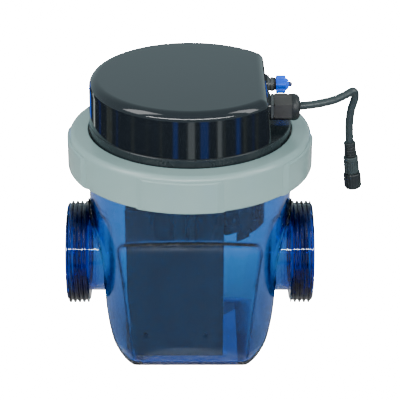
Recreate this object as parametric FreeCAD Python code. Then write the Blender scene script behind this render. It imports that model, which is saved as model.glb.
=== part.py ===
import FreeCAD, Part
import math
import os

# Salt-water chlorinator cell: a see-through tank with two threaded ports, closed by a head
# that carries the electrode plates and is held down by a screw ring. Millimetres.
# X runs through the ports, Y from front to back, Z up. The origin is the middle of the base.

V = FreeCAD.Vector
X_AXIS = V(1, 0, 0)
Y_AXIS = V(0, 1, 0)
Z_AXIS = V(0, 0, 1)
ORIGIN = V(0, 0, 0)
FAR = 200.0

# Tank
WALL = 3.2
TANK_CORNER_R = 5.0
SIDE_SAMPLES = 16
TANK_ROUND = ((69.5, 5.0), (70.0, 14.0), (71.0, 30.0), (72.4, 50.0), (74.2, 75.0), (77.0, 106.0),
              (78.6, 128.0))
TANK_SIDE = ((38.0, 0.0), (51.2, 5.0), (57.8, 10.3), (62.6, 21.0), (65.0, 32.0), (66.4, 44.0),
             (67.3, 60.0), (70.4, 82.0), (77.6, 106.0), (84.0, 124.0))
PAD_SIDE = ((63.8, 5.0), (64.7, 14.0), (66.4, 30.0), (67.3, 50.0), (70.4, 75.0), (77.0, 106.0),
            (78.6, 128.0))
FLAT_Y = 53.0
FLAT_CORNER_R = 5.0
RUNOUT_Z = 99.4
RUNOUT_R = 14.0
RUNOUT_TURN = 59.0
NECK_R = 78.6
NECK_BORE_R = NECK_R - WALL
NECK_ROOT_R = 81.0
NECK_STEP_Z = 150.0
RIM_Z = 174.0

# Ports
PORT_Z = 76.0
PORT_BORE_R = 26.25
PORT_BORE_X = 74.0
PORT_THROAT_R = 27.2
PORT_NECK_R = 31.0
PORT_PAD_R = 33.5
PORT_PAD_PROUD = 1.6
PORT_FLANGE_X = 79.0
PORT_FACE_X = 97.0
PORT_ROOT_R = 38.9
PORT_CREST_R = 40.8
PORT_PITCH = 3.6
PORT_RIDGE_W = (2.7, 1.1)
PORT_EDGE = 1.0
PORT_THREAD_END = 1.2
PORT_SEAL_R = (29.6, 33.4)
PORT_SEAL_DEPTH = 2.4
PORT_START_X = 50.0

# Closure thread, one start, right-hand
RING_PITCH = 6.0
RIDGE_W = (3.2, 2.0)
THREAD_Z = (157.0, 169.0)
NECK_CREST_R = 83.6
RING_BORE_R = 84.0
RING_CREST_R = 81.4

# Locking ring
RING_BOTTOM_Z = 155.5
RING_TOP_Z = 185.0
RING_R = 92.9
RING_EDGE_R = 4.6
RING_FOOT = 1.0
RING_LIP_R = 78.1
RING_LIP_EDGE_R = 0.8
RING_LIP_Z = 181.4
RING_LOBE_R = 94.5
RING_LOBE_EDGE_R = 1.6
RING_LOBES = 5
RING_LOBE_START = -94.5
RING_LOBE_HALF = 20.5
RING_LOBE_FLAT_HALF = 16.0
RING_LOBE_TOP_Z = 180.6

# Head
HEAD_FLOOR_Z = (150.0, 154.0)
SPIGOT_R = NECK_BORE_R - 0.3
SPIGOT_WALL = 4.3
FLANGE_R = 83.2
FLANGE_TOP_Z = 180.0
BAND_R = 77.2
BAND_WALL = 4.0
BAND_TOP_Z = 191.0
LEDGE_T = 3.0
ORING_Z = 163.0
ORING_R = 1.3
SKIRT_R = (58.0, 61.0)
SKIRT_ANGLES = (-64.0, -21.0)
SKIRT_BOTTOM_Z = 111.0
SKIRT_STEPS = ((0.0, 35.0, 8.0), (45.0, FAR, 2.5))

# Cover
COVER_FOOT_R = 77.0
COVER_TOP_R = 76.8
COVER_FLAT_X = 60.4
COVER_FLAT_LEAN = 3.0
COVER_CORNER_R = 9.0
COVER_BOTTOM_Z = 191.6
COVER_TOP_Z = 226.8
COVER_WALL = 2.6
COVER_EDGE_R = 7.2
LIP_INSET = BAND_WALL + 0.1
LIP_T = 2.0
LIP_DOWN = 3.0
LIP_UP = 1.8
LEDGE_X = COVER_FLAT_X - BAND_WALL
BOSS_BACK_X = 56.0

# Electrodes
PLATE_X = (-49.0, 26.0)
PLATE_Z = (5.5, 134.0)
PLATE_CHAMFER = 7.0
PLATE_T = 1.0
PLATE_PITCH = 7.6
PLATES = 12
PLATE_SLOT_PLAY = 0.1
TAB_W = 12.0
BUS_Z = (138.0, 142.0)
BUS_END = 1.0
BUS_X = {"anode": -14.0, "cathode": 6.0}
STUD_R = 3.0
STUD_TOP_Z = 172.0
ROD_R = 1.5
ROD_PLACES = ((12.0, 24.0), (-35.0, 24.0))
SLEEVE_R = 3.0
BUTTON_R = 2.2
BUTTON_T = 1.2

# Electrode holder, terminals and potting
HOLDER_X = (-30.5, 20.5)
HOLDER_Y = 46.6
HOLDER_CHEEK = 4.0
HOLDER_LOW_Z = 124.0
TONGUE_T = 3.6
TONGUE_LOW_Z = 107.5
TONGUE_BEND_R = 11.0
TONGUE_LEGS_X = ((-27.5, -11.7), (17.5, 3.4))
TONGUE_RIB_X = ((-15.2, -13.4), (5.0, 6.6))
TONGUE_BAR_X = (-3.6, -0.4)
NUT_AF = 10.0
NUT_T = 5.0
POTTING_TOP_Z = 160.0
LUG_T = 1.0
LUG_REACH = 15.0
LUG_WIRE_Z = POTTING_TOP_Z + 2.2
LEAD_R = 1.1

# Cable gland and cable
GLAND_Y = -8.0
GLAND_Z = 204.2
GLAND_AF = 19.0
GLAND_SHANK_R = 8.0
GLAND_WIRES_R = 4.4
GLAND_SEAT_X = 60.6
GLAND_BOSS_R = 11.2
GLAND_SEAL_T = 0.5
GLAND_FLANGE_T = 1.9
GLAND_BARREL_R = 7.4
GLAND_POCKET_R = 6.2
GLAND_POCKET_X = 66.0
GLAND_NUT_X = (63.2, 78.2)
GLAND_NOSE_R = 10.3
GLAND_MOUTH_X = 83.4
LOCKNUT_T = 4.0
NUT_PLAY = 0.15
CABLE_R = 3.25
CABLE_START_X = 62.0
CABLE_ROUTE = (
    (CABLE_START_X, GLAND_Y, GLAND_Z),
    (84.0, GLAND_Y, GLAND_Z),
    (108.0, -3.4, 206.8),
    (122.0, 3.6, 210.0),
    (126.9, 6.2, 202.6),
    (122.9, 6.0, 190.0),
    (123.2, 6.0, 175.6),
    (124.5, 6.0, 163.0),
)

# Bleed valve
BLEED_Y = 30.0
BLEED_Z = 207.5
BLEED_SEAT_X = 59.9
BLEED_BOSS_R = 8.0
BLEED_SHANK_R = 4.0
BLEED_SHANK_X = 49.5
BLEED_BORE_R = 2.3
BLEED_BORE_X = 54.0
BLEED_TUBE_R = 2.0
BLEED_TUBE_X = 44.0
BLEED_NOSE_R = 3.8
BLEED_ORING = (4.6, 0.75)
BLEED_KNOB_X = (66.8, 74.4, 76.9)
BLEED_KNOB_R = 5.4
BLEED_LOBES = 5

# Plug on the cable: it hangs from this point, tipped a little outwards
PLUG_TOP = V(123.85, 6.0, 169.0)
PLUG_TILT = 6.5


def cylinder(radius, low, high, x=0.0, y=0.0):
    """An upright cylinder between two heights."""
    return Part.makeCylinder(radius, high - low, V(x, y, low))


def tube(outer, inner, low, high, x=0.0, y=0.0):
    """An upright tube between two heights."""
    return cylinder(outer, low, high, x, y).cut(cylinder(inner, low - 1, high + 1, x, y))


def bar(radius, start, end, y, z):
    """A cylinder along X between two X values."""
    return Part.makeCylinder(radius, end - start, V(start, y, z), X_AXIS)


def pipe(outer, inner, start, end, y, z):
    """A tube along X between two X values."""
    return bar(outer, start, end, y, z).cut(bar(inner, start - 1, end + 1, y, z))


def block(x, y, z):
    """A box from three (low, high) pairs."""
    return Part.makeBox(x[1] - x[0], y[1] - y[0], z[1] - z[0], V(x[0], y[0], z[0]))


def polygon(points):
    return Part.makePolygon(points + [points[0]])


def lathe(outline):
    """Turns a closed outline of (radius, z) points about the Z axis."""
    points = [V(r, 0, z) for r, z in outline]
    return Part.Face(polygon(points)).revolve(ORIGIN, Z_AXIS, 360)


def turned(edges):
    """Turns a closed loop of edges, drawn in the XZ plane, about the Z axis."""
    return Part.Face(Part.Wire(edges)).revolve(ORIGIN, Z_AXIS, 360)


def line(a, b):
    return Part.LineSegment(a, b).toShape()


def arc(a, middle, b):
    return Part.Arc(a, middle, b).toShape()


def quarter(on_flat, on_side):
    """The rounded corner between a level edge and an upright one, in the XZ plane."""
    share = math.sqrt(0.5)
    centre_x, centre_z = on_flat.x, on_side.z
    middle = V(centre_x + (on_side.x - centre_x) * share, 0, centre_z + (on_flat.z - centre_z) * share)
    return arc(on_flat, middle, on_side)


def ring_seal(major, minor, z):
    """A lying O-ring."""
    return Part.makeTorus(major, minor, V(0, 0, z), Z_AXIS)


def hexagon(across_flats, start, end, y, z, turn=0.0):
    """A hexagonal prism along X. A turn of 0 has corners at the top and bottom."""
    corner = across_flats / math.sqrt(3)
    points = []
    for i in range(6):
        angle = math.radians(60 * i + 90 + turn)
        points.append(V(start, y + corner * math.cos(angle), z + corner * math.sin(angle)))
    return Part.Face(polygon(points)).extrude(V(end - start, 0, 0))


def hexagon_up(across_flats, low, high, x, y):
    """An upright hexagonal prism."""
    corner = across_flats / math.sqrt(3)
    points = []
    for i in range(6):
        angle = math.radians(60 * i)
        points.append(V(x + corner * math.cos(angle), y + corner * math.sin(angle), low))
    return Part.Face(polygon(points)).extrude(V(0, 0, high - low))


def thread_ridge(root, crest, pitch, low, high, widths, inward=False):
    """A helical ridge about Z, trimmed to a band of heights. widths are at its root and crest."""
    sink = -0.3 if inward else 0.3
    base, top = widths[0] / 2, widths[1] / 2
    helix = Part.makeHelix(pitch, high - low + 3 * pitch, root)
    foot = root - sink
    section = polygon([V(foot, 0, -base), V(crest, 0, -top), V(crest, 0, top), V(foot, 0, base)])
    ridge = Part.Wire(helix).makePipeShell([section], True, True)
    ridge.translate(V(0, 0, low - pitch))
    return ridge.common(cylinder(FAR, low, high))


def tank_turned(profile, inset):
    """A round outline of the tank, as a solid of revolution, set in by a wall thickness."""
    corner = TANK_CORNER_R - inset * 0.7
    side = [V(r - inset, 0, z) for r, z in profile]
    floor_z = inset
    low = V(side[0].x, 0, floor_z + corner)
    start = V(side[0].x - corner, 0, floor_z)
    bend = V(start.x + corner * math.sin(math.pi / 4), 0, low.z - corner * math.cos(math.pi / 4))
    curve = Part.BSplineCurve()
    points = [low] + [p for p in side if p.z > low.z + 5]
    curve.interpolate(Points=points, InitialTangent=V(0, 0, 1), FinalTangent=V(0, 0, 1))
    top = V(side[-1].x, 0, RIM_Z + (5 if inset else -4))
    edges = [
        line(V(0, 0, floor_z), start),
        arc(start, bend, low),
        curve.toShape(),
        line(side[-1], top),
        line(top, V(0, 0, top.z)),
        line(V(0, 0, top.z), V(0, 0, floor_z)),
    ]
    return turned(edges)


def tank_flats(inset):
    """The front and back outline of the tank, run along X: flats that lead out to the neck."""
    corner = FLAT_CORNER_R - inset * 0.7
    y = FLAT_Y - inset
    centre_y = FLAT_Y + RUNOUT_R
    radius = RUNOUT_R + inset
    turn = math.radians(RUNOUT_TURN)
    half = turn / 2
    slope = math.radians(90 - RUNOUT_TURN)
    arc_end = V(0, centre_y - radius * math.cos(turn), RUNOUT_Z + radius * math.sin(turn))
    arc_mid = V(0, centre_y - radius * math.cos(half), RUNOUT_Z + radius * math.sin(half))
    out_y = 95.0
    slope_end = V(0, out_y, arc_end.z + (out_y - arc_end.y) * math.tan(slope))
    diagonal = corner * (1 - math.sqrt(0.5))
    right = [
        line(V(0, 0, inset), V(0, y - corner, inset)),
        arc(V(0, y - corner, inset), V(0, y - diagonal, inset + diagonal), V(0, y, inset + corner)),
        line(V(0, y, inset + corner), V(0, y, RUNOUT_Z)),
        arc(V(0, y, RUNOUT_Z), arc_mid, arc_end),
        line(arc_end, slope_end),
        line(slope_end, V(0, out_y, FAR)),
        line(V(0, out_y, FAR), V(0, 0, FAR)),
        line(V(0, 0, FAR), V(0, 0, inset)),
    ]
    one = Part.Face(Part.Wire(right)).extrude(V(2 * FAR, 0, 0))
    one.translate(V(-FAR, 0, 0))
    other = one.mirror(ORIGIN, Y_AXIS)
    return one.fuse(other).removeSplitter()


def tank_sides(inset):
    """The left and right outline of the tank, run along Y: flattened sides with large lower corners."""
    outer = Part.BSplineCurve()
    outer.interpolate(Points=[V(x, 0, z) for x, z in TANK_SIDE], InitialTangent=X_AXIS)
    curve = Part.BSplineCurve()
    points = []
    for i in range(SIDE_SAMPLES + 1):
        along = outer.FirstParameter + i * (outer.LastParameter - outer.FirstParameter) / SIDE_SAMPLES
        forward = outer.tangent(along)[0]
        points.append(outer.value(along) + V(-forward.z, 0, forward.x) * inset)
    curve.interpolate(Points=points, InitialTangent=X_AXIS)
    foot, top = points[0], points[-1]
    edges = [
        line(V(0, 0, inset), foot),
        curve.toShape(),
        line(top, V(top.x, 0, FAR)),
        line(V(top.x, 0, FAR), V(0, 0, FAR)),
        line(V(0, 0, FAR), V(0, 0, inset)),
    ]
    right = Part.Face(Part.Wire(edges)).extrude(V(0, 2 * FAR, 0))
    right.translate(V(0, -FAR, 0))
    return right.fuse(right.mirror(ORIGIN, X_AXIS)).removeSplitter()


def tank_shape(inset):
    return tank_turned(TANK_ROUND, inset).common(tank_flats(inset)).common(tank_sides(inset))


def port_pad():
    """A raised teardrop around a port, following the tank's side."""
    r = PORT_PAD_R
    reach = r * math.sqrt(2)
    side = r / math.sqrt(2)
    left = V(0, -side, PORT_Z + side)
    right = V(0, side, PORT_Z + side)
    tip = V(0, 0, PORT_Z + reach)
    edges = [line(left, tip), line(tip, right), arc(right, V(0, 0, PORT_Z - r), left)]
    prism = Part.Face(Part.Wire(edges)).extrude(V(FAR, 0, 0))
    return prism.common(tank_turned(PAD_SIDE, -PORT_PAD_PROUD))


def port():
    """One port, on the +X side: neck, flange and pad, without its thread and bore."""
    neck = bar(PORT_NECK_R, PORT_START_X, PORT_FLANGE_X + 1, 0, PORT_Z)
    length = PORT_FACE_X - PORT_FLANGE_X
    rim = PORT_ROOT_R - PORT_EDGE
    flange = lathe([(0, 0), (rim, 0), (PORT_ROOT_R, PORT_EDGE), (PORT_ROOT_R, length - PORT_EDGE),
                    (rim, length), (0, length)])
    groove = pipe(PORT_SEAL_R[1], PORT_SEAL_R[0], PORT_FACE_X - PORT_SEAL_DEPTH, FAR, 0, PORT_Z)
    return neck.fuse([to_port(flange), port_pad()]).cut(groove)


def to_port(shape):
    """Moves a shape drawn upwards from the origin onto the right port's axis."""
    shape.rotate(ORIGIN, Y_AXIS, 90)
    shape.translate(V(PORT_FLANGE_X, 0, PORT_Z))
    return shape


def port_thread():
    high = PORT_FACE_X - PORT_FLANGE_X - PORT_THREAD_END
    return to_port(thread_ridge(PORT_ROOT_R, PORT_CREST_R, PORT_PITCH, PORT_THREAD_END, high, PORT_RIDGE_W))


def half_turn(shape):
    """A copy turned half way round the Z axis."""
    other = shape.copy()
    other.rotate(ORIGIN, Z_AXIS, 180)
    return other


def housing():
    outer = tank_shape(0.0)
    inner = tank_shape(WALL)
    collar = lathe([
        (NECK_R - 1.0, NECK_STEP_Z - 0.5),
        (NECK_R, NECK_STEP_Z - 0.5),
        (NECK_ROOT_R, NECK_STEP_Z + 3.0),
        (NECK_ROOT_R, RIM_Z),
        (NECK_BORE_R - 1.0, RIM_Z),
        (NECK_BORE_R - 1.0, NECK_STEP_Z + 5.0),
        (NECK_R - 1.0, NECK_STEP_Z + 5.0),
    ])
    ridge = thread_ridge(NECK_ROOT_R, NECK_CREST_R, RING_PITCH, THREAD_Z[0], THREAD_Z[1], RIDGE_W)
    right = port()
    shape = outer.fuse([collar, right, half_turn(right)])
    shape = shape.cut(inner)
    bore = bar(PORT_BORE_R, PORT_START_X - 5, PORT_FACE_X + 1, 0, PORT_Z)
    throat = bar(PORT_THROAT_R, PORT_START_X - 5, PORT_BORE_X, 0, PORT_Z)
    shape = shape.cut([bore, throat, half_turn(bore), half_turn(throat)]).removeSplitter()
    thread = port_thread()
    for part in (ridge, thread, half_turn(thread)):
        shape = shape.fuse(part)
    return shape


def ring_lobe(angle):
    """One grip lobe of the locking ring, with sloped sides and a rounded top."""
    sides = ((RING_BORE_R + 3, RING_LOBE_HALF), (RING_R - 0.3, RING_LOBE_HALF),
             (RING_LOBE_R + 0.5, RING_LOBE_FLAT_HALF))

    def corner(radius, degrees):
        return V(radius * math.cos(math.radians(degrees)), radius * math.sin(math.radians(degrees)), 0)

    outline = [corner(r, -half) for r, half in sides]
    outline.append(V(RING_LOBE_R + 4, 0, 0))
    outline += [corner(r, half) for r, half in reversed(sides)]
    prism = Part.Face(polygon(outline)).extrude(V(0, 0, FAR))
    inner = RING_BORE_R + 4
    top = RING_LOBE_TOP_Z
    edge = RING_LOBE_EDGE_R
    body = turned([
        line(V(inner, 0, RING_BOTTOM_Z), V(RING_LOBE_R - edge, 0, RING_BOTTOM_Z)),
        quarter(V(RING_LOBE_R - edge, 0, RING_BOTTOM_Z), V(RING_LOBE_R, 0, RING_BOTTOM_Z + edge)),
        line(V(RING_LOBE_R, 0, RING_BOTTOM_Z + edge), V(RING_LOBE_R, 0, top - edge)),
        quarter(V(RING_LOBE_R - edge, 0, top), V(RING_LOBE_R, 0, top - edge)),
        line(V(RING_LOBE_R - edge, 0, top), V(inner, 0, top)),
        line(V(inner, 0, top), V(inner, 0, RING_BOTTOM_Z)),
    ])
    lobe = body.common(prism)
    lobe.rotate(ORIGIN, Z_AXIS, angle)
    return lobe


def locking_ring():
    top = RING_TOP_Z - 0.5
    lip = RING_LIP_R + RING_LIP_EDGE_R
    body = turned([
        line(V(RING_LIP_R, 0, RING_LIP_Z), V(RING_LIP_R, 0, RING_TOP_Z - RING_LIP_EDGE_R)),
        quarter(V(lip, 0, RING_TOP_Z), V(RING_LIP_R, 0, RING_TOP_Z - RING_LIP_EDGE_R)),
        line(V(lip, 0, RING_TOP_Z), V(RING_R - RING_EDGE_R, 0, top)),
        quarter(V(RING_R - RING_EDGE_R, 0, top), V(RING_R, 0, top - RING_EDGE_R)),
        line(V(RING_R, 0, top - RING_EDGE_R), V(RING_R, 0, RING_BOTTOM_Z + RING_FOOT)),
        line(V(RING_R, 0, RING_BOTTOM_Z + RING_FOOT), V(RING_R - RING_FOOT, 0, RING_BOTTOM_Z)),
        line(V(RING_R - RING_FOOT, 0, RING_BOTTOM_Z), V(RING_BORE_R, 0, RING_BOTTOM_Z)),
        line(V(RING_BORE_R, 0, RING_BOTTOM_Z), V(RING_BORE_R, 0, RING_LIP_Z)),
        line(V(RING_BORE_R, 0, RING_LIP_Z), V(RING_LIP_R, 0, RING_LIP_Z)),
    ])
    lobes = [ring_lobe(RING_LOBE_START + i * 360 / RING_LOBES) for i in range(RING_LOBES)]
    shape = body.fuse(lobes).removeSplitter()
    ridge = thread_ridge(RING_BORE_R, RING_CREST_R, RING_PITCH, THREAD_Z[0], THREAD_Z[1], RIDGE_W,
                         inward=True)
    ridge.rotate(ORIGIN, Z_AXIS, 180)
    return shape.fuse(ridge)


def head_skirt():
    """A short stepped apron under the right front of the head."""
    corners = [ORIGIN]
    for degrees in SKIRT_ANGLES:
        corners.append(V(FAR * math.cos(math.radians(degrees)), FAR * math.sin(math.radians(degrees)), 0))
    wedge = Part.Face(polygon(corners)).extrude(V(0, 0, FAR))
    skirt = tube(SKIRT_R[1], SKIRT_R[0], SKIRT_BOTTOM_Z, HEAD_FLOOR_Z[0] + 1).common(wedge)
    for start, end, height in SKIRT_STEPS:
        skirt = skirt.cut(block((start, end), (-FAR, 0.0), (0.0, SKIRT_BOTTOM_Z + height)))
    return skirt


def head_base():
    """The head's tub: spigot in the neck, flange on its rim, and the band under the cover."""
    spigot_in = SPIGOT_R - SPIGOT_WALL
    groove = 2 * ORING_R
    tub = lathe([
        (0.0, HEAD_FLOOR_Z[0]),
        (SPIGOT_R - 1.0, HEAD_FLOOR_Z[0]),
        (SPIGOT_R, HEAD_FLOOR_Z[0] + 1.0),
        (SPIGOT_R, ORING_Z - ORING_R),
        (SPIGOT_R - groove, ORING_Z - ORING_R),
        (SPIGOT_R - groove, ORING_Z + ORING_R),
        (SPIGOT_R, ORING_Z + ORING_R),
        (SPIGOT_R, RIM_Z),
        (FLANGE_R, RIM_Z),
        (FLANGE_R, FLANGE_TOP_Z),
        (BAND_R, FLANGE_TOP_Z),
        (BAND_R, BAND_TOP_Z - 0.5),
        (BAND_R - 0.5, BAND_TOP_Z),
        (BAND_R - BAND_WALL, BAND_TOP_Z),
        (BAND_R - BAND_WALL, FLANGE_TOP_Z - 2.0),
        (spigot_in, FLANGE_TOP_Z - 6.0),
        (spigot_in, HEAD_FLOOR_Z[1]),
        (0.0, HEAD_FLOOR_Z[1]),
    ])
    disc = cylinder(BAND_R - 1.0, BAND_TOP_Z - LEDGE_T, BAND_TOP_Z)
    ledge = disc.common(block((LEDGE_X, FAR), (-FAR, FAR), (0.0, FAR)))
    tub = tub.fuse([ledge, head_skirt()])
    for x in BUS_X.values():
        tub = tub.cut(cylinder(STUD_R, 0, POTTING_TOP_Z, x, 0))
    tub = tub.cut(cylinder(BLEED_TUBE_R, 0, POTTING_TOP_Z, BLEED_TUBE_X, BLEED_Y))
    return tub.removeSplitter()


def cover_outline(foot_r, flat_x, corner, z):
    """The D-shaped outline of the cover at one height."""
    centre_x = flat_x - corner
    centre_y = math.sqrt((foot_r - corner) ** 2 - centre_x ** 2)
    reach = foot_r / (foot_r - corner)
    on_round = V(centre_x * reach, centre_y * reach, z)
    on_flat = V(flat_x, centre_y, z)
    centre = V(centre_x, centre_y, z)
    middle_dir = (on_round - centre).normalize() + (on_flat - centre).normalize()
    middle = centre + middle_dir.normalize() * corner

    def flip(p):
        return V(p.x, -p.y, p.z)

    return Part.Wire([
        arc(on_round, V(-foot_r, 0, z), flip(on_round)),
        arc(flip(on_round), flip(middle), flip(on_flat)),
        line(flip(on_flat), on_flat),
        arc(on_flat, middle, on_round),
    ])


def cover_solid(inset, low, high, edge_r):
    """The cover's outside set in by a distance, with its top edge rounded."""
    corner = COVER_CORNER_R - inset * 0.5
    slope = COVER_FLAT_LEAN / (COVER_TOP_Z - COVER_BOTTOM_Z)
    flat_low = COVER_FLAT_X - inset - slope * (low - COVER_BOTTOM_Z)
    flat_high = COVER_FLAT_X - inset - slope * (high - COVER_BOTTOM_Z)
    foot = cover_outline(COVER_FOOT_R - inset, flat_low, corner, low)
    head = cover_outline(COVER_TOP_R - inset, flat_high, corner, high)
    solid = Part.makeLoft([foot, head], True, True)
    rim = [e for e in solid.Edges if e.BoundBox.ZMin > high - 0.01]
    return solid.makeFillet(edge_r, rim)


def d_ring(outer_inset, inner_inset, low, high):
    """A flat D-shaped frame between two insets from the cover's foot."""
    outer = Part.Face(cover_outline(COVER_FOOT_R - outer_inset, COVER_FLAT_X - outer_inset,
                                    COVER_CORNER_R - outer_inset * 0.5, low))
    inner = Part.Face(cover_outline(COVER_FOOT_R - inner_inset, COVER_FLAT_X - inner_inset,
                                    COVER_CORNER_R - inner_inset * 0.5, low))
    return outer.cut(inner).extrude(V(0, 0, high - low))


def cover():
    """The lid: a D-shaped shell with a lip that sits in the head, and two bosses on its flat."""
    outer = cover_solid(0.0, COVER_BOTTOM_Z, COVER_TOP_Z, COVER_EDGE_R)
    inner = cover_solid(COVER_WALL, COVER_BOTTOM_Z - 1, COVER_TOP_Z - COVER_WALL, COVER_EDGE_R - COVER_WALL)
    lip_top = COVER_BOTTOM_Z + LIP_UP
    lip = d_ring(LIP_INSET, LIP_INSET + LIP_T, COVER_BOTTOM_Z - LIP_DOWN, lip_top)
    bridge = d_ring(COVER_WALL - 0.4, LIP_INSET + LIP_T, COVER_BOTTOM_Z + 0.6, lip_top)
    gland_boss = bar(GLAND_BOSS_R, BOSS_BACK_X, GLAND_SEAT_X, GLAND_Y, GLAND_Z)
    bleed_boss = bar(BLEED_BOSS_R, BOSS_BACK_X, BLEED_SEAT_X, BLEED_Y, BLEED_Z)
    shape = outer.cut(inner).fuse([lip, bridge, gland_boss, bleed_boss])
    shape = shape.cut(bar(GLAND_SHANK_R, BOSS_BACK_X - 5, GLAND_SEAT_X + 5, GLAND_Y, GLAND_Z))
    shape = shape.cut(bar(BLEED_SHANK_R, BOSS_BACK_X - 5, BLEED_SEAT_X + 5, BLEED_Y, BLEED_Z))
    return shape.removeSplitter()


def cover_gasket():
    return d_ring(0.5, BAND_WALL - 0.2, BAND_TOP_Z, COVER_BOTTOM_Z)


def slip_washer():
    return tube(FLANGE_R - 0.4, BAND_R + 0.3, FLANGE_TOP_Z, RING_LIP_Z)


def head_oring():
    return ring_seal(SPIGOT_R - ORING_R, ORING_R, ORING_Z)


def plate_ys(kind):
    """The plates' middles: anodes on the odd places, cathodes between them."""
    first = -PLATE_PITCH * (PLATES - 1) / 2
    start = 0 if kind == "anode" else 1
    return [first + i * PLATE_PITCH for i in range(start, PLATES, 2)]


def plate_corner(y):
    """What is cut off a plate's lower left corner, to clear the rounded corner of the tank."""
    x, z = PLATE_X[0], PLATE_Z[0]
    outline = polygon([V(x, y - 5, z), V(x + PLATE_CHAMFER, y - 5, z), V(x, y - 5, z + PLATE_CHAMFER)])
    return Part.Face(outline).extrude(V(0, 10, 0))


def plates(kind):
    """One set of plates, each with its tab up to the bus and two holes for the rods."""
    solids = []
    tab_x = BUS_X[kind]
    for y in plate_ys(kind):
        sides = (y - PLATE_T / 2, y + PLATE_T / 2)
        plate = block(PLATE_X, sides, PLATE_Z).cut(plate_corner(y))
        tab = block((tab_x - TAB_W / 2, tab_x + TAB_W / 2), sides, (PLATE_Z[1] - 1, BUS_Z[0]))
        plate = plate.fuse(tab).removeSplitter()
        for x, z in ROD_PLACES:
            plate = plate.cut(Part.makeCylinder(ROD_R, 10, V(x, y - 5, z), Y_AXIS))
        solids.append(plate)
    return Part.makeCompound(solids)


def spacer_rods():
    """Two rods through the plates with a flat button at each end."""
    half = PLATE_PITCH * (PLATES - 1) / 2 + PLATE_T / 2
    rods = []
    for x, z in ROD_PLACES:
        rod = Part.makeCylinder(ROD_R, 2 * half, V(x, -half, z), Y_AXIS)
        front = Part.makeCylinder(BUTTON_R, BUTTON_T, V(x, -half - BUTTON_T, z), Y_AXIS)
        back = Part.makeCylinder(BUTTON_R, BUTTON_T, V(x, half, z), Y_AXIS)
        rods.append(rod.fuse([front, back]).removeSplitter())
    return Part.makeCompound(rods)


def plate_spacers():
    """Sleeves on the rods that fill the gaps between the plates."""
    sleeves = []
    first = -PLATE_PITCH * (PLATES - 1) / 2 + PLATE_T / 2
    gap = PLATE_PITCH - PLATE_T
    for x, z in ROD_PLACES:
        for i in range(PLATES - 1):
            y = first + i * PLATE_PITCH
            sleeve = Part.makeCylinder(SLEEVE_R, gap, V(x, y, z), Y_AXIS)
            sleeves.append(sleeve.cut(Part.makeCylinder(ROD_R, gap, V(x, y, z), Y_AXIS)))
    return Part.makeCompound(sleeves)


def bus(kind):
    """The strap that joins the tabs of one set of plates."""
    ys = plate_ys(kind)
    x = BUS_X[kind]
    strap = block((x - TAB_W / 2, x + TAB_W / 2), (ys[0] - BUS_END, ys[-1] + BUS_END), BUS_Z)
    return strap.cut(cylinder(STUD_R, 0, FAR, x, 0))


def stud(kind):
    """The threaded rod from the bus through the head's floor."""
    rod = cylinder(STUD_R, BUS_Z[0], STUD_TOP_Z, BUS_X[kind], 0)
    tip = [e for e in rod.Edges if e.BoundBox.ZMin > STUD_TOP_Z - 0.01]
    return rod.makeChamfer(0.6, tip)


def tongue_leg(outer, inner):
    """One leg of the tongue, from its outer side to its inner side, rounded at its outer foot."""
    top = HEAD_FLOOR_Z[0]
    low = TONGUE_LOW_Z
    bend_z = low + TONGUE_BEND_R
    bend_x = outer + math.copysign(TONGUE_BEND_R, inner - outer)
    face = Part.Face(Part.Wire([
        line(V(outer, 0, top), V(inner, 0, top)),
        line(V(inner, 0, top), V(inner, 0, low)),
        line(V(inner, 0, low), V(bend_x, 0, low)),
        quarter(V(bend_x, 0, low), V(outer, 0, bend_z)),
        line(V(outer, 0, bend_z), V(outer, 0, top)),
    ]))
    return face.extrude(V(0, TONGUE_T, 0))


def tongue(side):
    """The holder's two ribbed legs and the bar between them, in front of or behind the plates."""
    heights = (TONGUE_LOW_Z, HEAD_FLOOR_Z[0])
    legs = [tongue_leg(outer, inner) for outer, inner in TONGUE_LEGS_X]
    shape = legs[0].fuse([legs[1], block(TONGUE_BAR_X, (0.0, TONGUE_T), heights)])
    shape.translate(V(0, -HOLDER_Y - 0.2, 0))
    ribs = [block(sides, (-HOLDER_Y - 1.4, -HOLDER_Y), heights) for sides in TONGUE_RIB_X]
    shape = shape.fuse(ribs)
    if side > 0:
        shape = shape.mirror(ORIGIN, Y_AXIS)
    return shape


def electrode_holder():
    """The block under the head that grips the plates, with a tongue front and back."""
    ends = (-HOLDER_Y, HOLDER_Y)
    deck = block(HOLDER_X, ends, (BUS_Z[1], HEAD_FLOOR_Z[0]))
    left = block((HOLDER_X[0], HOLDER_X[0] + HOLDER_CHEEK), ends, (HOLDER_LOW_Z, BUS_Z[1] + 1))
    right = block((HOLDER_X[1] - HOLDER_CHEEK, HOLDER_X[1]), ends, (HOLDER_LOW_Z, BUS_Z[1] + 1))
    shape = deck.fuse([left, right, tongue(-1), tongue(1)])
    half = PLATE_T / 2 + PLATE_SLOT_PLAY
    for kind in BUS_X:
        shape = shape.cut(cylinder(STUD_R, 0, FAR, BUS_X[kind], 0))
        for y in plate_ys(kind):
            shape = shape.cut(block(PLATE_X, (y - half, y + half), (0.0, PLATE_Z[1] + 0.2)))
    return shape.removeSplitter()


def terminal_nuts():
    """A nut under and a nut over the lug on each stud."""
    nuts = []
    for x in BUS_X.values():
        for low in (HEAD_FLOOR_Z[1], POTTING_TOP_Z + LUG_T):
            nuts.append(hexagon_up(NUT_AF, low, low + NUT_T, x, 0).cut(cylinder(STUD_R, 0, FAR, x, 0)))
    return Part.makeCompound(nuts)


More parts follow.
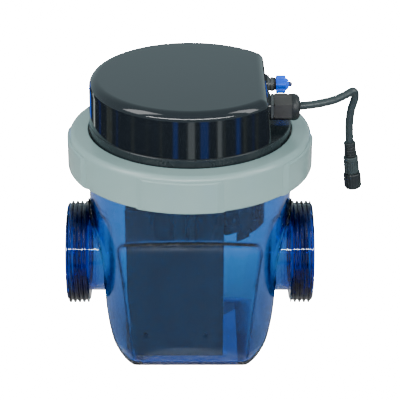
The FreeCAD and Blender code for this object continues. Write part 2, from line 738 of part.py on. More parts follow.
def terminal_lugs():
    """A ring lug on each stud, with a barrel that takes the lead."""
    low, high = POTTING_TOP_Z, POTTING_TOP_Z + LUG_T
    barrel_r = 2 * LEAD_R
    lugs = []
    for kind, x in BUS_X.items():
        turn = 0 if kind == "cathode" else -90
        eye = cylinder(2 * STUD_R + 0.2, low, high)
        tail = block((4.0, 9.0), (-barrel_r, barrel_r), (low, high))
        barrel = bar(barrel_r, 8.0, LUG_REACH, 0, LUG_WIRE_Z)
        lug = eye.fuse([tail, barrel])
        lug = lug.cut(cylinder(STUD_R, 0, FAR)).cut(bar(LEAD_R, 9.5, LUG_REACH + 1, 0, LUG_WIRE_Z))
        lug.rotate(ORIGIN, Z_AXIS, turn)
        lug.translate(V(x, 0, 0))
        lugs.append(lug.removeSplitter())
    return Part.makeCompound(lugs)


def potting():
    """Resin over the head's floor, around the studs, lower nuts and bleed tube."""
    low = HEAD_FLOOR_Z[1]
    resin = cylinder(SPIGOT_R - SPIGOT_WALL, low, POTTING_TOP_Z)
    for x in BUS_X.values():
        resin = resin.cut(cylinder(STUD_R, 0, FAR, x, 0)).cut(hexagon_up(NUT_AF, low, low + NUT_T, x, 0))
    return resin.cut(cylinder(BLEED_TUBE_R, 0, FAR, BLEED_TUBE_X, BLEED_Y))


def rounded_route(points, share=0.45):
    """Straight runs joined by tangent arcs. Returns the wire and the arcs' radii."""
    pts = [V(*p) for p in points]
    edges = []
    radii = []
    here = pts[0]
    for i in range(1, len(pts) - 1):
        back = (pts[i - 1] - pts[i])
        on = (pts[i + 1] - pts[i])
        run = min(back.Length, on.Length)
        back.normalize()
        on.normalize()
        half_turn = (math.pi - math.acos(max(-1.0, min(1.0, back.dot(on))))) / 2
        reach = share * run
        radius = reach / math.tan(half_turn)
        middle = (back + on).normalize()
        start = pts[i] + back * reach
        end = pts[i] + on * reach
        top = pts[i] + middle * (radius / math.cos(half_turn) - radius)
        edges.append(line(here, start))
        edges.append(arc(start, top, end))
        radii.append(radius)
        here = end
    edges.append(line(here, pts[-1]))
    return Part.Wire(edges), radii


def tube_along(points, radius):
    """A round rod swept along a rounded route."""
    wire, radii = rounded_route(points)
    start = V(*points[0])
    heading = (V(*points[1]) - start).normalize()
    section = Part.Wire(Part.makeCircle(radius, start, heading))
    return wire.makePipeShell([section], True, False), wire.Length, radii


def leads():
    """Two wires from the cable's end to the lugs."""
    to_cathode = GLAND_Y + 1.3
    to_anode = GLAND_Y - 1.3
    in_barrel = LUG_REACH - 5.5
    cathode_x = BUS_X["cathode"] + in_barrel
    anode_x = BUS_X["anode"]
    routes = (
        ((CABLE_START_X, to_cathode, GLAND_Z), (46.0, to_cathode, GLAND_Z), (34.0, -3.0, 186.0),
         (34.0, 0.0, LUG_WIRE_Z), (cathode_x, 0.0, LUG_WIRE_Z)),
        ((CABLE_START_X, to_anode, GLAND_Z), (44.0, to_anode, GLAND_Z), (14.0, -22.0, 192.0),
         (anode_x, -30.0, LUG_WIRE_Z + 8.0), (anode_x, -24.0, LUG_WIRE_Z), (anode_x, -in_barrel, LUG_WIRE_Z)),
    )
    return Part.makeCompound([tube_along(route, LEAD_R)[0] for route in routes])


def gland_body():
    """Hexagon against the cover, barrel through its wall and collet under the nut."""
    y, z = GLAND_Y, GLAND_Z
    flange = GLAND_SEAT_X + GLAND_SEAL_T
    flange_end = flange + GLAND_FLANGE_T
    shape = hexagon(GLAND_AF, flange, flange_end, y, z)
    shape = shape.fuse([bar(GLAND_SHANK_R, BOSS_BACK_X - 6, flange + 0.1, y, z),
                        bar(GLAND_BARREL_R, flange_end - 0.2, GLAND_POCKET_X + 8.5, y, z)])
    shape = shape.cut(bar(CABLE_R + 0.1, CABLE_START_X - 1, FAR, y, z))
    shape = shape.cut(bar(GLAND_WIRES_R, 0, CABLE_START_X, y, z))
    return shape.cut(bar(GLAND_POCKET_R, GLAND_POCKET_X, FAR, y, z)).removeSplitter()


def gland_oring():
    end = GLAND_SEAT_X + GLAND_SEAL_T
    return pipe(GLAND_SHANK_R + 0.9, GLAND_SHANK_R, GLAND_SEAT_X, end, GLAND_Y, GLAND_Z)


def gland_locknut():
    end = BOSS_BACK_X - NUT_PLAY
    nut = hexagon(GLAND_AF, end - LOCKNUT_T, end, GLAND_Y, GLAND_Z, 30.0)
    return nut.cut(bar(GLAND_SHANK_R, 0, FAR, GLAND_Y, GLAND_Z))


def gland_seal():
    return pipe(GLAND_POCKET_R, CABLE_R, GLAND_POCKET_X, GLAND_POCKET_X + 9.6, GLAND_Y, GLAND_Z)


def gland_nut():
    """Dome nut: hexagon, then a rounded nose with a mouth for the cable."""
    y, z = GLAND_Y, GLAND_Z
    start, end = GLAND_NUT_X
    face_r = GLAND_AF / 2 + 0.45
    side_r = face_r + 1.2
    trim = lathe([(0, start), (face_r, start), (side_r, start + 0.8), (side_r, end - 0.8),
                  (face_r, end), (0, end)])
    nose_z = end + 0.7
    mouth_r = GLAND_NOSE_R - 4.2
    bend = V(GLAND_NOSE_R - 1.3, 0, GLAND_MOUTH_X - 1.3)
    nose = turned([
        line(V(0, 0, end - 0.6), V(GLAND_NOSE_R, 0, end - 0.6)),
        line(V(GLAND_NOSE_R, 0, end - 0.6), V(GLAND_NOSE_R, 0, nose_z)),
        arc(V(GLAND_NOSE_R, 0, nose_z), bend, V(mouth_r, 0, GLAND_MOUTH_X)),
        line(V(mouth_r, 0, GLAND_MOUTH_X), V(0, 0, GLAND_MOUTH_X)),
        line(V(0, 0, GLAND_MOUTH_X), V(0, 0, end - 0.6)),
    ])
    for part in (trim, nose):
        part.rotate(ORIGIN, Y_AXIS, 90)
        part.translate(V(0, y, z))
    shape = hexagon(GLAND_AF, start, end, y, z).common(trim).fuse(nose)
    shape = shape.cut(bar(GLAND_BARREL_R + 0.3, 0, GLAND_POCKET_X + 10, y, z))
    return shape.cut(bar(CABLE_R + 0.65, 0, FAR, y, z)).removeSplitter()


def cable():
    return tube_along(CABLE_ROUTE, CABLE_R)


def bleed_body():
    """Stub through the cover: flange, grooved barrel, nose for the knob, hose tail inside."""
    y, z = BLEED_Y, BLEED_Z
    barrel_r = BLEED_KNOB_R + 0.3
    solids = [bar(BLEED_SHANK_R, BLEED_SHANK_X, BLEED_SEAT_X + 0.5, y, z)]
    for radius, start, end in ((BLEED_BOSS_R - 0.8, 0.0, 1.7), (barrel_r - 0.7, 1.5, 3.0),
                               (barrel_r, 2.8, 5.0), (BLEED_NOSE_R, 4.8, 11.0)):
        solids.append(bar(radius, BLEED_SEAT_X + start, BLEED_SEAT_X + end, y, z))
    shape = solids[0].fuse(solids[1:]).cut(bar(BLEED_TUBE_R, 0, BLEED_BORE_X, y, z))
    return shape.cut(bar(BLEED_BORE_R, BLEED_BORE_X, FAR, y, z)).removeSplitter()


def bleed_oring():
    major, minor = BLEED_ORING
    return Part.makeTorus(major, minor, V(BLEED_SEAT_X + 5.0 + minor, BLEED_Y, BLEED_Z), X_AXIS)


def bleed_locknut():
    end = BOSS_BACK_X - NUT_PLAY
    nut = hexagon(11.0, end - LOCKNUT_T, end, BLEED_Y, BLEED_Z)
    return nut.cut(bar(BLEED_SHANK_R, 0, FAR, BLEED_Y, BLEED_Z))


def bleed_knob():
    """Lobed knob that narrows towards its outer end."""
    y, z = BLEED_Y, BLEED_Z
    start, waist, end = BLEED_KNOB_X
    core = bar(BLEED_KNOB_R, start, waist, y, z)
    lobes = []
    for i in range(BLEED_LOBES):
        angle = math.radians(90 + 360 * i / BLEED_LOBES)
        lobe_y = y + (BLEED_KNOB_R - 0.6) * math.cos(angle)
        lobe_z = z + (BLEED_KNOB_R - 0.6) * math.sin(angle)
        lobes.append(bar(2.5, start, waist, lobe_y, lobe_z))
    nose = Part.makeCone(BLEED_KNOB_R, BLEED_KNOB_R - 1.8, end - waist, V(waist, y, z), X_AXIS)
    shape = core.fuse(lobes).removeSplitter().fuse(nose)
    shape = shape.cut(bar(BLEED_NOSE_R + 0.4, 0, BLEED_SEAT_X + 12.8, y, z))
    return shape.cut(bar(BLEED_BORE_R, 0, FAR, y, z)).removeSplitter()


def bleed_stem():
    """The stem that the knob carries: its needle inside and its round tip outside."""
    y, z = BLEED_Y, BLEED_Z
    radius = BLEED_BORE_R - 0.3
    tip_x = BLEED_KNOB_X[2] + 1.0
    needle_x = BLEED_BORE_X + 3.5
    rod = bar(radius, needle_x, tip_x, y, z)
    tip = Part.makeSphere(radius, V(tip_x, y, z))
    needle = Part.makeCone(0.6, radius, 3.0, V(needle_x - 3.0, y, z), X_AXIS)
    return rod.fuse([tip, needle]).removeSplitter()


def bleed_tube():
    """The tube from the stub's inner end down through the head's floor."""
    route = ((BLEED_BORE_X - 1.5, BLEED_Y, BLEED_Z), (BLEED_TUBE_X, BLEED_Y, BLEED_Z),
             (BLEED_TUBE_X, BLEED_Y, HEAD_FLOOR_Z[0]))
    return tube_along(route, BLEED_TUBE_R)[0]


def on_plug(shape):
    """Moves a piece drawn downwards from the origin to its place on the hanging plug."""
    shape.rotate(ORIGIN, Y_AXIS, -PLUG_TILT)
    shape.translate(PLUG_TOP)
    return shape


def plug_lathe(outline):
    """A turned piece of the plug, from (radius, distance below the plug's top) points."""
    return lathe([(r, -s) for r, s in outline])


def connector_relief():
    outline = [(0, 0), (4.4, 0), (4.7, 0.4), (4.7, 3.2), (4.1, 3.6)]
    for i in range(4):
        s = 3.9 + 2.0 * i
        outline += [(4.1, s), (4.6 + 0.15 * i, s + 0.4), (4.6 + 0.15 * i, s + 1.2), (4.1, s + 1.6)]
    outline += [(4.1, 12.0), (0, 12.0)]
    return on_plug(plug_lathe(outline))


def connector_body():
    shape = plug_lathe([(0, 12.0), (5.4, 12.0), (5.9, 12.6), (5.9, 15.2), (5.4, 15.8), (5.6, 25.6),
                        (4.7, 26.0), (4.7, 36.0), (3.9, 36.0), (3.9, 31.0), (0, 31.0)])
    ribs = []
    for i in range(18):
        angle = math.radians(20 * i)
        ribs.append(cylinder(0.45, -25.2, -16.0, 5.5 * math.cos(angle), 5.5 * math.sin(angle)))
    return on_plug(shape.fuse(ribs).removeSplitter())


def connector_insert():
    """The contact block with its three pins."""
    shape = plug_lathe([(0, 31.0), (3.9, 31.0), (3.9, 32.6), (0, 32.6)])
    pins = []
    for i in range(3):
        angle = math.radians(120 * i + 90)
        pins.append(cylinder(0.6, -36.6, -32.0, 1.9 * math.cos(angle), 1.9 * math.sin(angle)))
    return on_plug(shape.fuse(pins).removeSplitter())


def connector_seal():
    return on_plug(plug_lathe([(4.7, 29.0), (5.4, 29.0), (5.4, 30.4), (4.7, 30.4)]))


def connector_nut():
    """The coupling ring that turns on the plug body, with a finely ribbed outside."""
    shape = plug_lathe([(5.0, 26.3), (6.3, 26.3), (6.6, 27.0), (6.6, 37.8), (5.9, 39.0), (5.75, 39.0),
                        (5.75, 28.2), (5.0, 28.2)])
    ribs = []
    for i in range(20):
        angle = math.radians(18 * i)
        ribs.append(cylinder(0.5, -37.4, -27.4, 6.4 * math.cos(angle), 6.4 * math.sin(angle)))
    return on_plug(shape.fuse(ribs).removeSplitter())


def save(name, shape):
    if not shape.isValid() or shape.Volume <= 0:
        raise RuntimeError(name + " is not a valid solid")
    shape.exportStep("parts/" + name + ".step")
    print(name, "volume", round(shape.Volume / 1000, 2), "cm3, solids", len(shape.Solids))


def main():
    os.makedirs("parts", exist_ok=True)
    save("housing", housing())
    save("locking_ring", locking_ring())
    save("head_base", head_base())
    save("cover", cover())
    save("cover_gasket", cover_gasket())
    save("slip_washer", slip_washer())
    save("head_oring", head_oring())
    for kind in BUS_X:
        save(kind + "_plates", plates(kind))
        save(kind + "_bus", bus(kind))
        save(kind + "_stud", stud(kind))
    save("spacer_rods", spacer_rods())
    save("plate_spacers", plate_spacers())
    save("electrode_holder", electrode_holder())
    save("terminal_nuts", terminal_nuts())
    save("terminal_lugs", terminal_lugs())
    save("potting", potting())
    save("leads", leads())
    save("gland_body", gland_body())
    save("gland_oring", gland_oring())
    save("gland_locknut", gland_locknut())
    save("gland_seal", gland_seal())
    save("gland_nut", gland_nut())
    tube_shape, length, radii = cable()
    save("cable", tube_shape)
    section = math.pi * CABLE_R ** 2
    print("cable length", round(length, 1), "volume over section", round(tube_shape.Volume / section, 1))
    print("cable arc radii", [round(r, 1) for r in radii])
    save("connector_relief", connector_relief())
    save("connector_body", connector_body())
    save("connector_insert", connector_insert())
    save("connector_seal", connector_seal())
    save("connector_nut", connector_nut())
    save("bleed_body", bleed_body())
    save("bleed_oring", bleed_oring())
    save("bleed_locknut", bleed_locknut())
    save("bleed_knob", bleed_knob())
    save("bleed_stem", bleed_stem())
    save("bleed_tube", bleed_tube())


main()
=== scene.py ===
import bmesh
import bpy
import math
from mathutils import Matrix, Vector


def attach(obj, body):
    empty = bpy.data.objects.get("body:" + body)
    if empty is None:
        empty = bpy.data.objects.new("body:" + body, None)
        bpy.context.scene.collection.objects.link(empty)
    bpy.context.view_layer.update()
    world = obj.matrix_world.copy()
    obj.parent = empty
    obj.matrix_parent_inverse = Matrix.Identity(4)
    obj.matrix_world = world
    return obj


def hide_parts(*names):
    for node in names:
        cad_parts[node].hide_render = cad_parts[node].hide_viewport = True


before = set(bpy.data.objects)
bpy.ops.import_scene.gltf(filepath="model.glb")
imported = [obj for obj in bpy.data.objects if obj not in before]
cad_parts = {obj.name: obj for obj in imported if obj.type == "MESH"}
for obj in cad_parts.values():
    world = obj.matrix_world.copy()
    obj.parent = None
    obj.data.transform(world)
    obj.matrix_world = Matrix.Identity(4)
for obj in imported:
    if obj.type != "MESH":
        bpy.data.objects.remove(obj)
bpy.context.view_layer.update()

MM = 0.001

# The camera: how far it looks down, how far off it is, the height on the object's axis it looks at, and its
# sideways shift as a part of the frame's width. LENS and SENSOR are in millimetres.
CAMERA_PITCH = math.radians(26.0)
CAMERA_DISTANCE = 1.25
AIM_Z = 0.1216
CAMERA_SHIFT = 0.025
LENS = 143.1
SENSOR = 36.0

# At its highest point the curve folds on a radius of about 2 mm, which is tighter than the cable's own
# diameter.
CABLE_DIAMETER = 6.5 * MM
CABLE_ROUTE = (
    (0.0620, -0.0080, 0.2042),
    (0.0840, -0.0080, 0.2042),
    (0.1080, -0.0034, 0.2068),
    (0.1190, 0.0022, 0.2098),
    (0.1256, 0.0056, 0.2126),
    (0.1268, 0.0062, 0.2062),
    (0.1238, 0.0060, 0.1966),
    (0.1229, 0.0060, 0.1870),
    (0.1232, 0.0060, 0.1756),
    (0.1245, 0.0060, 0.1630),
)
CABLE_BEVEL_STEPS = 6
CABLE_STEPS = 16

# The clear blue plastic: how much it absorbs per metre, and the colour it lets through. The floor, below
# FLOOR_TINT_Z, and the ports, beyond PORT_TINT_X on either side, are tinted deeper, as thick mouldings are.
TANK_ABSORPTION = 600.0
TANK_COLOUR = (0.0, 0.573, 0.844)
FLOOR_TINT_Z = 0.004
PORT_TINT_X = 0.080
TINT_BLEND = 0.002
TANK_CLEAR = (0.96, 0.98, 1.0)
TANK_DEEP = (0.28, 0.50, 0.98)

# Over what radius the shading rounds sharp edges: on most pieces, on the tank, and on the tank's port
# threads. The tank's radius changes over THREAD_EDGE_X, out from its middle.
EDGE_R = 0.0004
TANK_EDGE_R = 0.0035
THREAD_EDGE_R = 0.0004
THREAD_EDGE_X = (0.060, 0.068)
EDGE_SAMPLES = 4

# The studio: a white floor, and two flat rings on it that give off light and that only reflections see, so
# that they paint reflections on the object: painted shade close round the object, and beyond it a dark
# surround with paler and bluer streaks, all painted reflection. SURROUND_STREAKS and SURROUND_PHASE scale
# and shift the streaks round the turn, and SURROUND_STOPS colours them; its palest and bluest stops are
# brighter than white, as painted highlights. FLOOR_LIFT is the light that the floor gives off to the camera
# alone.
SURROUND_RADII = (0.43, 2.2)
SHADE_RADII = (0.08, 0.43)
RING_SIDES = 96
RING_Z = 0.002
SURROUND_STREAKS = 22.0
SURROUND_PHASE = 8.0
SURROUND_STOPS = (
    (0.28, (0.05, 0.30, 2.0)),
    (0.35, (0.02, 0.06, 0.55)),
    (0.40, (0.02, 0.02, 0.05)),
    (0.55, (0.02, 0.02, 0.03)),
    (0.60, (0.32, 0.34, 0.24)),
    (0.66, (0.14, 0.16, 0.15)),
    (0.74, (1.6, 1.8, 1.8)),
)
FLOOR_SIZE = 60.0
FLOOR_LIFT = 40.0
WORLD_COLOUR = (0.74, 0.95, 1.0)
WORLD_STRENGTH = 0.8
LIGHTS_AIM = (0, 0, 0.15)

# Where the gland nut's hexagon ends and its nose begins. NO_NOSE_X is beyond the object, for other fittings.
GLAND_NOSE_X = 0.0766
NO_NOSE_X = 1.0
NOSE_BLEND = 0.0004
NOSE_BLACK = (0.008, 0.009, 0.010)

# How much paler bare metal is in its palest patches
METAL_PALER = 1.12


# ---------------------------------------------------------------- materials

class Graph:
    """A material's node tree with short calls for the nodes used here."""

    def __init__(self, name):
        self.material = bpy.data.materials.new(name)
        self.material.use_nodes = True
        self.tree = self.material.node_tree
        self.tree.nodes.clear()
        self.out = self.add("ShaderNodeOutputMaterial")
        self.shader = self.add("ShaderNodeBsdfPrincipled")
        self.link(self.shader.outputs["BSDF"], self.out.inputs["Surface"])

    def add(self, kind, **settings):
        node = self.tree.nodes.new(kind)
        for key, value in settings.items():
            setattr(node, key, value)
        return node

    def link(self, source, target):
        self.tree.links.new(source, target)

    def set(self, **values):
        """Sets the shader's own sockets, with underscores for spaces."""
        for key, value in values.items():
            self.shader.inputs[key.replace("_", " ")].default_value = value

    def object_place(self, scale=(1, 1, 1)):
        coords = self.add("ShaderNodeTexCoord")
        mapping = self.add("ShaderNodeMapping")
        mapping.inputs["Scale"].default_value = scale
        self.link(coords.outputs["Object"], mapping.inputs["Vector"])
        return mapping.outputs["Vector"]

    def noise(self, scale, detail=2.0, roughness=0.5, stretch=(1, 1, 1)):
        node = self.add("ShaderNodeTexNoise")
        node.inputs["Scale"].default_value = scale
        node.inputs["Detail"].default_value = detail
        node.inputs["Roughness"].default_value = roughness
        self.link(self.object_place(stretch), node.inputs["Vector"])
        return node.outputs["Fac"]

    def spread(self, source, low, high, start=0.3, end=0.7):
        node = self.add("ShaderNodeMapRange")
        node.inputs["From Min"].default_value = start
        node.inputs["From Max"].default_value = end
        node.inputs["To Min"].default_value = low
        node.inputs["To Max"].default_value = high
        self.link(source, node.inputs["Value"])
        return node.outputs["Result"]

    def blend_colours(self, factor, a, b):
        """From a, a colour or a socket, to the colour b."""
        node = self.add("ShaderNodeMix", data_type="RGBA")
        self.link(factor, node.inputs["Factor"])
        if isinstance(a, tuple):
            node.inputs["A"].default_value = (*a, 1)
        else:
            self.link(a, node.inputs["A"])
        node.inputs["B"].default_value = (*b, 1)
        return node.outputs["Result"]

    def place(self, axis):
        """One of the object coordinates, in metres."""
        split = self.add("ShaderNodeSeparateXYZ")
        self.link(self.object_place(), split.inputs["Vector"])
        return split.outputs[axis]

    def maths(self, operation, a, b=0.0):
        node = self.add("ShaderNodeMath", operation=operation)
        self.link(a, node.inputs[0])
        if isinstance(b, float):
            node.inputs[1].default_value = b
        else:
            self.link(b, node.inputs[1])
        return node.outputs[0]

    def bump(self, height, strength, distance, edge=EDGE_R):
        """Surface relief, over edges that the shading rounds. edge is a radius or a socket."""
        rounded = self.add("ShaderNodeBevel", samples=EDGE_SAMPLES)
        if isinstance(edge, float):
            rounded.inputs["Radius"].default_value = edge
        else:
            self.link(edge, rounded.inputs["Radius"])
        node = self.add("ShaderNodeBump")
        self.link(rounded.outputs["Normal"], node.inputs["Normal"])
        node.inputs["Strength"].default_value = strength
        node.inputs["Distance"].default_value = distance
        self.link(height, node.inputs["Height"])
        self.link(node.outputs["Normal"], self.shader.inputs["Normal"])


def moulded_plastic(name, dark, light, rough, grain_scale=900.0, grain=0.15, coat=0.0, specular=0.5):
    """Moulded plastic: slight colour drift, an uneven sheen and a fine moulded grain."""
    g = Graph(name)
    drift = g.noise(scale=14.0, detail=3.0)
    g.link(g.blend_colours(drift, dark, light), g.shader.inputs["Base Color"])
    g.link(g.spread(g.noise(scale=60.0, detail=4.0), *rough), g.shader.inputs["Roughness"])
    g.bump(g.noise(scale=grain_scale, detail=2.0), strength=grain, distance=0.00012)
    g.set(Coat_Weight=coat, Coat_Roughness=0.08, Specular_IOR_Level=specular)
    return g.material


def clear_tank(name):
    """Clear blue moulded plastic, faintly wavy from the mould."""
    g = Graph(name)
    g.set(Transmission_Weight=1.0, IOR=1.5)
    floor = g.spread(g.place("Z"), low=1.0, high=0.0, start=FLOOR_TINT_Z, end=FLOOR_TINT_Z + TINT_BLEND)
    sideways = g.maths("ABSOLUTE", g.place("X"))
    ports = g.spread(sideways, low=0.0, high=1.0, start=PORT_TINT_X - TINT_BLEND, end=PORT_TINT_X)
    thick = g.maths("MAXIMUM", floor, ports)
    g.link(g.blend_colours(thick, TANK_CLEAR, TANK_DEEP), g.shader.inputs["Base Color"])
    g.link(g.spread(g.noise(scale=45.0, detail=3.0), low=0.01, high=0.03), g.shader.inputs["Roughness"])
    edge = g.spread(sideways, TANK_EDGE_R, THREAD_EDGE_R, *THREAD_EDGE_X)
    g.bump(g.noise(scale=22.0, detail=2.0), strength=0.12, distance=0.0006, edge=edge)
    volume = g.add("ShaderNodeVolumeAbsorption")
    volume.inputs["Color"].default_value = (*TANK_COLOUR, 1)
    volume.inputs["Density"].default_value = TANK_ABSORPTION
    g.link(volume.outputs["Volume"], g.out.inputs["Volume"])
    return g.material


def coated_plate(name):
    """Dark coated metal, drawn in one direction, with cloudy patches from the coating."""
    g = Graph(name)
    clouds = g.noise(scale=30.0, detail=5.0, roughness=0.6)
    coating = g.blend_colours(clouds, (0.060, 0.052, 0.048), (0.085, 0.075, 0.070))
    g.link(coating, g.shader.inputs["Base Color"])
    g.link(g.spread(g.noise(scale=90.0, detail=3.0), low=0.38, high=0.6), g.shader.inputs["Roughness"])
    g.bump(g.noise(scale=60.0, detail=3.0, roughness=0.6, stretch=(1, 1, 25)), strength=0.25, distance=0.0001)
    g.set(Metallic=0.25)
    return g.material


def metal(name, colour, rough):
    """Bare metal with fine marks from its finish."""
    g = Graph(name)
    paler = tuple(min(1.0, c * METAL_PALER) for c in colour)
    g.link(g.blend_colours(g.noise(scale=80.0, detail=3.0), colour, paler), g.shader.inputs["Base Color"])
    g.link(g.spread(g.noise(scale=300.0, detail=2.0), *rough), g.shader.inputs["Roughness"])
    g.bump(g.noise(scale=700.0, detail=2.0), strength=0.2, distance=0.00008)
    g.set(Metallic=1.0)
    return g.material


def gland_plastic(name, dark, light, nose_x=NO_NOSE_X):
    """Glass-filled nylon: mottled grey with fine flow lines along it, and a black nose past nose_x."""
    g = Graph(name)
    mottle = g.noise(scale=240.0, detail=4.0, roughness=0.65, stretch=(0.3, 1, 1))
    nose = g.spread(g.place("X"), low=0.0, high=1.0, start=nose_x, end=nose_x + NOSE_BLEND)
    body = g.blend_colours(mottle, dark, light)
    g.link(g.blend_colours(nose, body, NOSE_BLACK), g.shader.inputs["Base Color"])
    g.link(g.spread(g.noise(scale=120.0, detail=3.0), low=0.36, high=0.56), g.shader.inputs["Roughness"])
    flow_lines = g.noise(scale=420.0, detail=3.0, roughness=0.6, stretch=(0.15, 1, 1))
    g.bump(flow_lines, strength=0.35, distance=0.00018)
    return g.material


def clear_hose(name):
    """Clear soft tube, slightly cloudy."""
    g = Graph(name)
    g.set(Base_Color=(0.9, 0.93, 0.95, 1), Transmission_Weight=0.8, IOR=1.45, Roughness=0.15)
    g.bump(g.noise(scale=300.0, detail=2.0), strength=0.1, distance=0.0002)
    return g.material


def paint(node, material):
    """Gives a CAD node one material."""
    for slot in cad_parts[node].material_slots:
        slot.material = material


def make_materials():
    """Paints every CAD node, and returns the cable's own material."""
    tank = clear_tank("tank_clear_blue")
    ring = moulded_plastic("ring_grey", (0.176, 0.258, 0.248), (0.200, 0.286, 0.274),
                           rough=(0.28, 0.38), coat=0.3)
    band = moulded_plastic("base_satin_black", (0.007, 0.011, 0.013), (0.011, 0.016, 0.019),
                           rough=(0.22, 0.32), specular=0.4)
    gloss = moulded_plastic("cover_gloss_black", (0.005, 0.007, 0.009), (0.007, 0.009, 0.012),
                            rough=(0.05, 0.09), grain_scale=500.0, grain=0.02, specular=0.42)
    black = moulded_plastic("holder_black", (0.006, 0.006, 0.008), (0.010, 0.010, 0.012), rough=(0.35, 0.5))
    rubber = moulded_plastic("seal_rubber", (0.010, 0.010, 0.010), (0.016, 0.016, 0.016), rough=(0.6, 0.75))
    white = moulded_plastic("washer_white", (0.5, 0.5, 0.48), (0.6, 0.6, 0.58), rough=(0.35, 0.45))
    resin = moulded_plastic("potting_resin", (0.018, 0.018, 0.018), (0.03, 0.03, 0.03),
                            rough=(0.12, 0.3), grain=0.05)
    jacket = moulded_plastic("cable_jacket", (0.013, 0.021, 0.023), (0.020, 0.030, 0.032), rough=(0.32, 0.42))
    wires = moulded_plastic("lead_jacket", (0.22, 0.025, 0.018), (0.28, 0.035, 0.022), rough=(0.35, 0.45))
    plug = moulded_plastic("plug_black", (0.018, 0.028, 0.029), (0.026, 0.038, 0.040), rough=(0.42, 0.52))
    blue = moulded_plastic("knob_blue", (0.003, 0.070, 0.62), (0.005, 0.095, 0.74),
                           rough=(0.30, 0.42), specular=0.3)
    navy = moulded_plastic("stem_navy", (0.006, 0.014, 0.075), (0.009, 0.022, 0.10), rough=(0.25, 0.35))
    plates = coated_plate("plate_coating")
    titanium = metal("titanium_bare", (0.42, 0.40, 0.38), (0.28, 0.42))
    steel = metal("steel", (0.56, 0.56, 0.57), (0.22, 0.34))
    tin = metal("tinned_brass", (0.58, 0.56, 0.48), (0.25, 0.4))
    nut = gland_plastic("gland_nut_grey", (0.020, 0.019, 0.018), (0.042, 0.038, 0.036), GLAND_NOSE_X)
    fitting = gland_plastic("fitting_grey", (0.045, 0.050, 0.052), (0.070, 0.076, 0.078))
    tail = moulded_plastic("plug_ring_black", (0.007, 0.010, 0.011), (0.012, 0.016, 0.017), rough=(0.38, 0.5))
    groups = (
        (tank, ("housing",)), (ring, ("locking_ring",)), (band, ("head_base",)), (gloss, ("cover",)),
        (black, ("electrode_holder", "spacer_rods", "plate_spacers")),
        (plates, ("anode_plates", "cathode_plates")),
        (titanium, ("anode_bus", "cathode_bus", "anode_stud", "cathode_stud")),
        (steel, ("terminal_nuts",)), (tin, ("terminal_lugs",)), (resin, ("potting",)), (wires, ("leads",)),
        (nut, ("gland_nut",)), (fitting, ("gland_body", "gland_locknut", "bleed_body", "bleed_locknut")),
        (rubber, ("cover_gasket", "head_oring", "gland_oring", "gland_seal", "bleed_oring")),
        (rubber, ("connector_seal",)),
        (plug, ("connector_body",)), (tail, ("connector_relief", "connector_insert", "connector_nut")),
        (blue, ("bleed_knob",)), (navy, ("bleed_stem",)), (white, ("slip_washer",)),
        (jacket, ("cable",)), (clear_hose("hose_clear"), ("bleed_tube",)),
    )
    for material, nodes in groups:
        for node in nodes:
            paint(node, material)
    return jacket


# ---------------------------------------------------------------- cable

def make_cable(material):
    """The cable as one smooth curve, in place of the CAD's tube."""
    curve = bpy.data.curves.new("cable_flex", "CURVE")
    curve.dimensions = "3D"
    curve.bevel_depth = CABLE_DIAMETER / 2
    curve.bevel_resolution = CABLE_BEVEL_STEPS
    curve.resolution_u = CABLE_STEPS
    curve.use_fill_caps = True
    spline = curve.splines.new("NURBS")
    spline.points.add(len(CABLE_ROUTE) - 1)
    for point, place in zip(spline.points, CABLE_ROUTE):
        point.co = (*place, 1)
    spline.order_u = 3
    spline.use_endpoint_u = True
    flex = bpy.data.objects.new("cable_flex", curve)
    bpy.context.scene.collection.objects.link(flex)
    curve.materials.append(material)
    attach(flex, "head")
    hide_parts("cable")
    return flex


# ---------------------------------------------------------------- stage

def area_light(name, place, size, watts):
    """A rectangular light, turned towards the middle of the object."""
    light = bpy.data.lights.new(name, "AREA")
    light.shape = "RECTANGLE"
    light.size = size[0]
    light.size_y = size[1]
    light.energy = watts
    lamp = bpy.data.objects.new(name, light)
    lamp.location = place
    lamp.rotation_euler = (Vector(LIGHTS_AIM) - Vector(place)).to_track_quat("-Z", "Y").to_euler()
    bpy.context.scene.collection.objects.link(lamp)


def floor_material():
    """A white floor that gives off light to the camera alone, so it shows pure white and without a shadow."""
    g = Graph("floor_white")
    g.set(Base_Color=(0.9, 0.9, 0.9, 1), Roughness=0.6)
    seen = g.add("ShaderNodeLightPath")
    lift = g.add("ShaderNodeMath", operation="MULTIPLY")
    lift.inputs[1].default_value = FLOOR_LIFT
    g.link(seen.outputs["Is Camera Ray"], lift.inputs[0])
    g.set(Emission_Color=(1, 1, 1, 1))
    g.link(lift.outputs[0], g.shader.inputs["Emission Strength"])
    return g.material


def painted_reflection_material():
    """Painted reflection: dark surroundings as emitted light, with paler and bluer streaks running away from
    the object, seen only in reflections.
    """
    g = Graph("painted_reflection_streaks")
    coords = g.add("ShaderNodeTexCoord")
    round_about = g.add("ShaderNodeTexGradient", gradient_type="RADIAL")
    g.link(coords.outputs["Object"], round_about.inputs["Vector"])
    turns = g.maths("ADD", g.maths("MULTIPLY", round_about.outputs["Fac"], SURROUND_STREAKS), SURROUND_PHASE)
    streaks = g.add("ShaderNodeTexNoise", noise_dimensions="1D")
    streaks.inputs["Scale"].default_value = 1.0
    streaks.inputs["Detail"].default_value = 2.0
    g.link(turns, streaks.inputs["W"])
    ramp = g.add("ShaderNodeValToRGB")
    elements = ramp.color_ramp.elements
    while len(elements) < len(SURROUND_STOPS):
        elements.new(0.5)
    for element, (place, colour) in zip(elements, SURROUND_STOPS):
        element.position = place
        element.color = (*colour, 1)
    g.link(streaks.outputs["Fac"], ramp.inputs["Fac"])
    g.set(Base_Color=(0, 0, 0, 1), Roughness=1.0, Specular_IOR_Level=0.0, Emission_Strength=1.0)
    g.link(ramp.outputs["Color"], g.shader.inputs["Emission Color"])
    return g.material


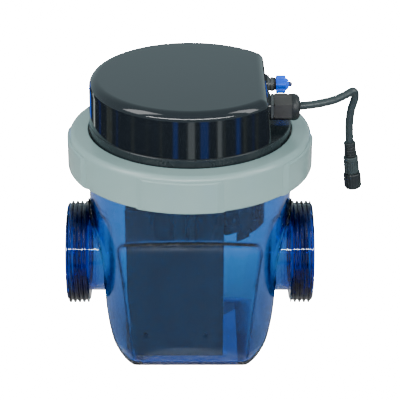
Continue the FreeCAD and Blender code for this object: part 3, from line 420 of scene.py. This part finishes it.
def painted_shade_material():
    """Painted shade: the floor's soft shade close round the object, as emitted grey light that only
    reflections see.
    """
    g = Graph("painted_shade_ring")
    g.set(Base_Color=(0, 0, 0, 1), Roughness=1.0, Specular_IOR_Level=0.0, Emission_Strength=1.0)
    g.link(g.blend_colours(g.noise(scale=9.0, detail=3.0), (0.50, 0.52, 0.51), (0.64, 0.66, 0.65)),
           g.shader.inputs["Emission Color"])
    return g.material


def make_surround(name, radii, material):
    """A flat ring on the floor round the object, seen only in its reflections."""
    mesh = bpy.data.meshes.new(name)
    form = bmesh.new()
    rings = []
    for radius in radii:
        corners = []
        for i in range(RING_SIDES):
            angle = 2 * math.pi * i / RING_SIDES
            corners.append(form.verts.new((radius * math.cos(angle), radius * math.sin(angle), RING_Z)))
        rings.append(corners)
    for i in range(RING_SIDES):
        k = (i + 1) % RING_SIDES
        form.faces.new((rings[0][i], rings[1][i], rings[1][k], rings[0][k]))
    form.to_mesh(mesh)
    form.free()
    surround = bpy.data.objects.new(name, mesh)
    bpy.context.scene.collection.objects.link(surround)
    mesh.materials.append(material)
    surround.visible_camera = False
    surround.visible_diffuse = False
    surround.visible_transmission = False
    surround.visible_shadow = False


def make_stage():
    """The floor, the rings that only reflections see, the sky light and three lamps."""
    bpy.ops.mesh.primitive_plane_add(size=FLOOR_SIZE, location=(0, 0, 0))
    floor = bpy.context.object
    floor.name = "floor"
    floor.data.materials.append(floor_material())
    # Painted reflections: two glowing rings that only reflections see, a streaked surround and a painted
    # shade.
    make_surround("surround", SURROUND_RADII, painted_reflection_material())
    make_surround("shade", SHADE_RADII, painted_shade_material())

    world = bpy.data.worlds.new("studio")
    world.use_nodes = True
    background = world.node_tree.nodes["Background"]
    background.inputs["Color"].default_value = (*WORLD_COLOUR, 1)
    background.inputs["Strength"].default_value = WORLD_STRENGTH
    bpy.context.scene.world = world
    area_light("strip_front", place=(0.0, -1.15, 0.80), size=(2.6, 0.05), watts=26)
    area_light("key_left", place=(-0.9, -0.35, 1.1), size=(0.5, 1.0), watts=11)
    area_light("key_right", place=(0.95, -0.3, 0.9), size=(0.3, 1.0), watts=6)


def make_camera():
    """The camera, looking down at the object from the front."""
    camera = bpy.data.cameras.new("camera")
    camera.lens = LENS
    camera.sensor_width = SENSOR
    eye = bpy.data.objects.new("camera", camera)
    aim = Vector((0, 0, AIM_Z))
    away = Vector((0, -math.cos(CAMERA_PITCH), math.sin(CAMERA_PITCH)))
    eye.location = aim + away * CAMERA_DISTANCE
    eye.rotation_euler = (math.pi / 2 - CAMERA_PITCH, 0, 0)
    camera.shift_x = CAMERA_SHIFT
    bpy.context.scene.collection.objects.link(eye)
    bpy.context.scene.camera = eye


flex = make_cable(make_materials())
make_stage()
make_camera()
